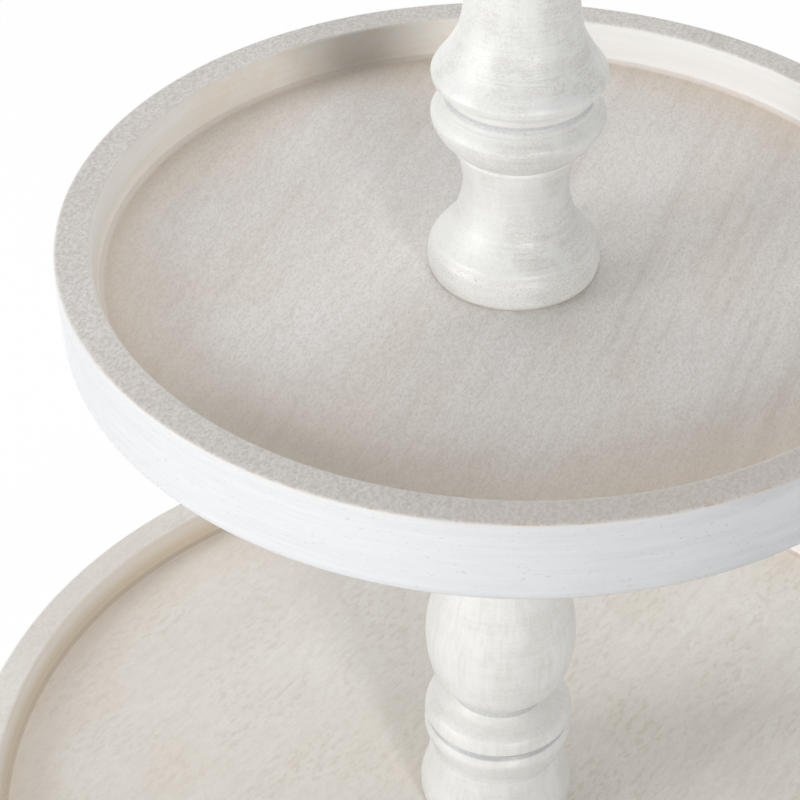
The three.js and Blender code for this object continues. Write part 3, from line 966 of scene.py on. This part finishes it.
def washed_post_wood(name, fineness):
    """White-washed wood of the posts and ball: warm white, greyer on the right and in the grooves,
    partly as painted shade, crisp cream edges.
    """
    f = Finish(name)
    tone = tones(POST_COLOURS)
    grain = f.grain(POST_GRAIN)
    band = f.mark("band")
    colour = coated(f, tone["bright"], POST_COATS, grain, tone)
    streaked = f.ramp(grain["streaks"], 0.42, 0.72, 0, 0.45 - 0.28 * fineness)
    colour = f.mix(streaked, colour, tone["streak"])

    # Where the wash is thin, the rings of the tool and the pores show through; it is thinner
    # towards the right, partly as painted shade
    wash_and_shade = f.calc("ADD", grain["clouds"], f.times(f.facing(THIN_AND_SHADED_POST_SIDE), 0.12))
    thin = f.ramp(wash_and_shade, 0.45, 0.75)
    ringed = f.times(f.ramp(grain["rings"], 0.42, 0.7), f.ramp(thin, 0, 1, 0.1, 0.4 * fineness))
    colour = f.mix(ringed, colour, tone["ring"])
    banded = f.times(f.ramp(grain["bands"], 0.4, 0.7), f.ramp(thin, 0, 1, 0.04, 0.25 * fineness))
    colour = f.mix(banded, colour, tone["band"])
    rubbed = f.ramp(thin, 0, 1, 0.15 * fineness, 0.45 * fineness)
    worn = f.times(f.ramp(grain["mottle"], 0.42, 0.66), rubbed)
    colour = f.mix(worn, colour, tone["worn"])
    specks = f.ramp(grain["specks"], 0.64, 0.74)
    dotting = f.calc("ADD", f.ramp(thin, 0, 1, 0.12 * fineness, 0.4 * fineness), f.times(band, 0.6))
    colour = f.mix(f.times(specks, dotting), colour, tone["speck"])
    grit = f.ramp(grain["grit"], 0.48, 0.62, 0, 0.4)
    colour = f.mix(f.times(grit, band), colour, tone["grit"])

    # Grey in the grooves, partly wash and partly painted shade, a brown line at the foot, cream on
    # the edges, bare wood in the holes
    uneven = f.ramp(f.calc("ADD", grain["mottle"], grain["bands"]), 0.8, 1.2, 0.45, 0.95)
    washed = f.times(f.ramp(f.mark("hollow"), 0.0, 0.9), uneven)
    colour = f.mix(washed, colour, tone["groove"])
    colour = f.mix(f.times(f.mark("seam"), 0.6), colour, tone["seam"])
    colour = f.mix(f.times(f.mark("edge"), 0.22), colour, tone["edge"])
    bare = coated(f, tone["bare_dark"], BARE_COATS, grain, tone)
    colour = f.mix(f.mark("under"), colour, bare)

    relief = f.calc("ADD", f.times(grain["rings"], 0.8), f.times(grain["mottle"], 0.5))
    relief = f.calc("SUBTRACT", relief, f.times(specks, 0.4))
    roughness = f.ramp(grain["mottle"], 0.3, 0.7, 0.34, 0.48)
    return f.done(colour, roughness, relief, POST_RELIEF, IOR=WOOD_IOR)


def worked_metal(name, table, colours, dullest):
    """Metal with fine lines drawn round it and a bloom in patches."""
    f = Finish(name)
    tone = tones(colours)
    grain = f.grain(table)
    colour = coated(f, tone["bright"], METAL_COATS, grain, tone)
    roughness = f.ramp(grain["bloom"], 0.3, 0.7, 0.28, dullest)
    return f.done(colour, roughness, grain["lines"], METAL_RELIEF, Metallic=1.0)


def pressed_felt():
    """Pressed felt of the foot pads: matted fibres, a little flattened."""
    f = Finish("pressed_felt")
    tone = tones(FELT_COLOURS)
    fibres = f.noise(FELT_FIBRE, (1, 0.3, 1), 25, 4, 0.7)
    crossing = f.noise(FELT_FIBRE, (0.3, 1, 1), -15, 4, 0.7)
    matted = f.calc("MAXIMUM", fibres, crossing)
    grain = {"matted": matted, "patches": f.noise(FELT_PATCH)}
    colour = coated(f, tone["dark"], FELT_COATS, grain, tone)
    roughness = f.ramp(matted, 0.4, 0.75, 0.98, 0.88)
    return f.done(colour, roughness, matted, FELT_RELIEF, **{"Sheen Weight": 0.3})


tray_wood = {tray: washed_tray_wood(tray) for tray in TRAY_LOOKS}
post_wood = {
    "upper_post": washed_post_wood("washed_wood_upper_post", 1.0),
    "lower_post": washed_post_wood("washed_wood_lower_post", 0.5),
}
metals = {
    "zinc_steel": worked_metal("zinc_plated_steel", ZINC_GRAIN, ZINC_COLOURS, 0.45),
    "brass_insert": worked_metal("machined_brass", BRASS_GRAIN, BRASS_COLOURS, 0.5),
}
felt = pressed_felt()

# Pieces


def kept(piece, node, body, slot):
    """The piece rides on its body and stands for its node; its slot is not used."""
    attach(piece, body)
    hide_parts(node)


TRAY_FACETS, POST_FACETS, FINIAL_FACETS, PAD_FACETS = 420, 144, 96, 72
THREAD_FACETS, WASHER_FACETS, SCREW_FACETS = 48, 72, 36

for tray, depth, recess, body, seed in (
    ("lower_tray", LOWER_DEPTH, True, "base", 11.0),
    ("upper_tray", UPPER_DEPTH, False, "upper_tier", 23.0),
):
    low, high = heights(tray)
    drawn = tray_outline(reach(tray), high - low, depth, recess).raised(low)
    piece = turned(tray + "_wood", drawn, tray_wood[tray], TRAY_FACETS, seed=seed, **TRAY_WEAR)
    kept(piece, tray, body, "washed_wood_tray")

for post, stretches, hole, body, seed in (
    ("lower_post", LOWER_POST, insert_hole, "base", 31.0),
    ("upper_post", UPPER_POST, lambda sunk: screw_hole(sunk, SCREW_SINK_POST), "handle", 43.0),
):
    low, high = heights(post)
    drawn = post_outline(stretches, high - low, reach(post), hole).raised(low)
    piece = turned(post + "_wood", drawn, post_wood[post], POST_FACETS, seed=seed, **POST_WEAR)
    kept(piece, post, body, "washed_wood_post")

ball = turned(
    "finial_wood", ball_outline().raised(heights("finial")[0]), post_wood["upper_post"],
    FINIAL_FACETS, seed=57.0, **FINIAL_WEAR,
)
kept(ball, "finial", "handle", "washed_wood_post")


def stud_outline(length, radius):
    """A fully threaded stud with chamfered ends."""
    outline = Outline()
    outline.line((0, 0), (radius - ROD_CHAMFER, 0), STEEL_ROW)
    rod(outline, 0, radius, length)
    outline.line((radius - ROD_CHAMFER, length), (0, length), STEEL_ROW)
    return outline


def bolt_outline(length, radius):
    """A low crowned head with a hexagon socket, head down, and a threaded shank above it."""
    head, crown, shank, back_round = 4.4 * MM, 2.2 * MM, 4 * MM, 0.3 * MM
    flats, socket, drill_rise, drill_share = 2.5 * MM, 2.6 * MM, 0.3 * MM, 0.6
    bevel, bevel_height = 0.45 * MM, 0.25 * MM
    corner, corner_share, crown_steps = 0.01 * MM, 0.99, 10
    outline = Outline()
    outline.line((0, socket + drill_rise), (flats * drill_share, socket), FINE_ROW)
    outline.line((flats * corner_share, socket), (flats, socket - corner), STEEL_ROW, six=1)
    outline.line((flats, socket - 2 * corner), (flats, bevel_height), SMALL_ROW, six=1)
    outline.line((flats + bevel, 0), (radius - crown, 0), SMALL_ROW)
    outline.arc((radius - crown, crown), crown, -90, 0, crown_steps)
    outline.line((radius, crown), (radius, head - back_round), SMALL_ROW)
    outline.line((radius, head - back_round), (radius - back_round, head), back_round)
    outline.line((radius - back_round, head), (shank, head), FINE_ROW)
    rod(outline, head, shank, length - head)
    outline.line((shank - ROD_CHAMFER, length), (0, length), STEEL_ROW)
    return outline


def washer_outline(thickness, radius):
    """A wide washer with rolled edges."""
    soft, soft_steps = 0.25 * MM, 3
    outer, bore = radius - soft, BOLT_HOLE + soft
    outline = Outline()
    outline.line((bore, 0), (outer, 0), STEEL_ROW)
    outline.arc((outer, soft), soft, -90, 0, soft_steps)
    outline.arc((outer, thickness - soft), soft, 0, 90, soft_steps)
    outline.line((outer, thickness), (bore, thickness), STEEL_ROW)
    outline.arc((bore, thickness - soft), soft, 90, 180, soft_steps)
    outline.arc((bore, soft), soft, 180, 270, soft_steps)
    return outline


def insert_outline(length, radius):
    """A flanged insert, mouth down: a coarse thread outside for the wood and M8 inside."""
    flange, barrel, soft, soft_steps, fade_rows = 1.5 * MM, 6 * MM, 0.2 * MM, 3, 8
    mouth, end_bore, bore = BOLT_HOLE + 0.5 * MM, BOLT_HOLE + 0.3 * MM, BOLT_HOLE - 0.2 * MM
    end_bevel, inner_depth, row = 0.4 * MM, 0.4 * MM, 0.5 * MM
    mouth_gap, flange_gap, end_gap = 0.4 * MM, 0.05 * MM, 0.3 * MM
    outer = radius - soft
    outline = Outline()
    outline.line((mouth, 0), (outer, 0), FINE_ROW)
    outline.arc((outer, soft), soft, -90, 0, soft_steps)
    outline.line((radius, soft), (radius, flange - soft), row)
    outline.arc((outer, flange - soft), soft, 0, 90, soft_steps)
    rows = round((length - flange) / (WOOD_PITCH / WOOD_ROWS))
    levels = np.linspace(flange + flange_gap, length - end_gap, rows)
    cut = [WOOD_DEPTH * f for f in fading(rows, fade_rows)]
    outline.add([(barrel, z) for z in levels], pitch=WOOD_PITCH, cut=cut)
    outline.line((barrel - end_bevel, length), (end_bore, length), row)
    rows = round(length / (METRIC_PITCH / METRIC_ROWS))
    levels = np.linspace(length - end_gap, mouth_gap, rows)
    cut = [-inner_depth * f for f in fading(rows, fade_rows)]
    outline.add([(bore, z) for z in levels], pitch=METRIC_PITCH, cut=cut)
    outline.add([(mouth, 0)])
    return outline


def screw_outline(length, radius):
    """A double-ended wood screw with a point at each end and a coarse thread between."""
    point = 4 * MM
    rows = round(length / (WOOD_PITCH / WOOD_ROWS))
    levels = np.linspace(0, length, rows + 1)
    radii = [radius * min(1.0, z / point, (length - z) / point) for z in levels]
    cut = [WOOD_DEPTH * (r / radius) for r in radii]
    outline = Outline()
    outline.add(list(zip(radii, levels)), pitch=WOOD_PITCH, cut=cut)
    return outline


def pad_outline(height, radius):
    """A pressed felt pad with soft edges."""
    soft, soft_steps, top_inset, top_gap = 0.8 * MM, 6, 0.2 * MM, 0.3 * MM
    base_row, edge_row, top_row = 0.9 * MM, 0.35 * MM, 1.2 * MM
    outline = Outline()
    outline.line((0, 0), (radius - soft, 0), base_row, arris=0.4)
    outline.arc((radius - soft, soft), soft, -90, 0, soft_steps, arris=1)
    outline.line((radius, soft), (radius, height - top_gap), edge_row, arris=1)
    outline.line((radius - top_inset, height), (0, height), top_row)
    return outline


def upright(node, outline):
    """The outline raised to the node's foot."""
    return outline.raised(heights(node)[0])


def hung(node, outline):
    """The outline turned over under the node's top."""
    return outline.turned_over(heights(node)[1])


for node_name, outline_of, stand, slot, body, facets in (
    ("joining_stud", stud_outline, upright, "zinc_steel", "base", THREAD_FACETS),
    ("base_bolt", bolt_outline, upright, "zinc_steel", "base", THREAD_FACETS),
    ("base_washer", washer_outline, upright, "zinc_steel", "base", WASHER_FACETS),
    ("finial_screw", screw_outline, upright, "zinc_steel", "handle", SCREW_FACETS),
    ("lower_post_bottom_insert", insert_outline, upright, "brass_insert", "base", THREAD_FACETS),
    ("lower_post_top_insert", insert_outline, hung, "brass_insert", "base", THREAD_FACETS),
    ("upper_post_insert", insert_outline, upright, "brass_insert", "handle_thread", THREAD_FACETS),
):
    low, high = heights(node_name)
    drawn = stand(node_name, outline_of(high - low, reach(node_name)))
    piece = turned(node_name + "_metal", drawn, metals[slot], facets)
    kept(piece, node_name, body, slot)

for number in range(1, 5):
    node_name = f"foot_pad_{number}"
    low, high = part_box(node_name)
    middle = (low + high) / 2
    drawn = pad_outline(high.z - low.z, (high.x - low.x) / 2)
    pad = turned(node_name + "_felt", drawn, felt, PAD_FACETS, seed=60.0 + number, **FELT_WEAR)
    pad.data.transform(Matrix.Translation((middle.x, middle.y, low.z)))
    kept(pad, node_name, "base", "felt")

# Studio

FLOOR_HALF = 3.0
FLOOR_WHITENESS = 0.97
FLOOR_PATCH = 4 * MM
STUDIO_COATS = (("patches", 0.3, 0.7, 0, 1, "white"),)
FLOOR_COLOURS = {"pale": (246, 246, 246), "white": (250, 250, 250)}
PURE_WHITE = (1, 1, 1, 1)
SKY = {"Color": (1.0, 0.975, 0.94, 1), "Strength": 0.2}
STAND_MIDDLE = (0, 0, 0.22)

# Name, place in metres, size in metres, power in watts
LAMPS = (
    ("window_left", (-1.732, -0.631, 0.68), 0.9, 22.9),
    ("front_right", (0.688, -1.702, 0.712), 0.38, 17.0),
    ("sky_behind", (-0.475, 0.823, 1.865), 2.0, 18.0),
    ("back_right", (0.893, 1.546, 0.87), 1.4, 7.0),
)

# The camera as found from the upper tray's rim: the photo's width and the focal length in its
# pixels, the camera's angles, and the way from it to the middle of the rim's top in metres
PHOTO_WIDTH, FOCAL_PIXELS = 800, 2619
PITCH = math.radians(37.765)
ROLL = math.radians(0.126)
RIGHT, DOWN, AWAY = 0.037215, -0.05643, 0.85434
SENSOR = 36
CLIP = (0.05, 50)


def white_rays(node, calc):
    """1 for what the camera sees, straight, in gloss or through glass."""
    rays = node("ShaderNodeLightPath")
    seen = calc("ADD", rays["Is Camera Ray"], rays["Is Glossy Ray"], clamp=True)
    return calc("ADD", seen, rays["Is Transmission Ray"], clamp=True)


def floor_paint():
    """A plain pale floor that the camera sees as white, with the stand's shadow kept."""
    f = Finish("studio_floor")
    tone = tones(FLOOR_COLOURS)
    grain = {"patches": f.noise(FLOOR_PATCH, detail=2.0)}
    colour = coated(f, tone["pale"], STUDIO_COATS, grain, tone)
    diffuse = f.node("ShaderNodeBsdfDiffuse", {"Color": colour})
    glow = f.node("ShaderNodeEmission", {"Color": PURE_WHITE, "Strength": 1.0})
    seen = f.times(white_rays(f.node, f.calc), FLOOR_WHITENESS)
    mixed = f.node("ShaderNodeMixShader", {0: seen, 1: diffuse[0], 2: glow[0]})
    f.node("ShaderNodeOutputMaterial", {"Surface": mixed[0]})
    return f.material


def studio_floor():
    """A wide sheet under the stand."""
    corners = [
        (x * FLOOR_HALF, y * FLOOR_HALF, 0) for x, y in ((-1, -1), (1, -1), (1, 1), (-1, 1))
    ]
    mesh = bpy.data.meshes.new("studio_floor")
    mesh.from_pydata(corners, [], [(0, 1, 2, 3)])
    mesh.materials.append(floor_paint())
    sheet = bpy.data.objects.new("studio_floor", mesh)
    bpy.context.scene.collection.objects.link(sheet)


def studio_world():
    """White to the camera, a soft even light for everything else."""
    world = bpy.data.worlds.new("studio_world")
    world.use_nodes = True
    world.node_tree.nodes.clear()
    node = nodes_of(world.node_tree)
    calc = sums_of(node)
    soft = node("ShaderNodeBackground", SKY)
    white = node("ShaderNodeBackground", {"Color": PURE_WHITE, "Strength": 1.0})
    mixed = node("ShaderNodeMixShader", {0: white_rays(node, calc), 1: soft[0], 2: white[0]})
    node("ShaderNodeOutputWorld", {"Surface": mixed[0]})
    bpy.context.scene.world = world


def soft_box(name, place, size, power):
    """A white square area lamp that looks at the middle of the stand."""
    lamp = bpy.data.lights.new(name, "AREA")
    lamp.shape = "SQUARE"
    lamp.size = size
    lamp.energy = power
    held = bpy.data.objects.new(name, lamp)
    held.location = place
    aim = Vector(STAND_MIDDLE) - Vector(place)
    held.rotation_euler = aim.to_track_quat("-Z", "Y").to_euler()
    bpy.context.scene.collection.objects.link(held)


def photo_camera():
    """The camera at the photo's viewing angle."""
    rim_top = Vector((0, 0, heights("upper_tray")[1]))
    axes = (
        Vector((1, 0, 0)),
        Vector((0, -math.sin(PITCH), -math.cos(PITCH))),
        Vector((0, math.cos(PITCH), -math.sin(PITCH))),
    )
    data = bpy.data.cameras.new("photo_camera")
    data.sensor_width = SENSOR
    data.lens = FOCAL_PIXELS * SENSOR / PHOTO_WIDTH
    data.clip_start, data.clip_end = CLIP
    camera = bpy.data.objects.new("photo_camera", data)
    camera.location = rim_top - RIGHT * axes[0] - DOWN * axes[1] - AWAY * axes[2]
    camera.rotation_mode = "XYZ"
    camera.rotation_euler = (math.pi / 2 - PITCH, 0, 0)
    camera.rotation_euler = (
        camera.rotation_euler.to_matrix() @ Matrix.Rotation(ROLL, 3, "Z")
    ).to_euler()
    bpy.context.scene.collection.objects.link(camera)
    bpy.context.scene.camera = camera


studio_floor()
studio_world()
for name, place, size, power in LAMPS:
    soft_box(name, place, size, power)
photo_camera()
bpy.context.scene.view_settings.view_transform = "Standard"
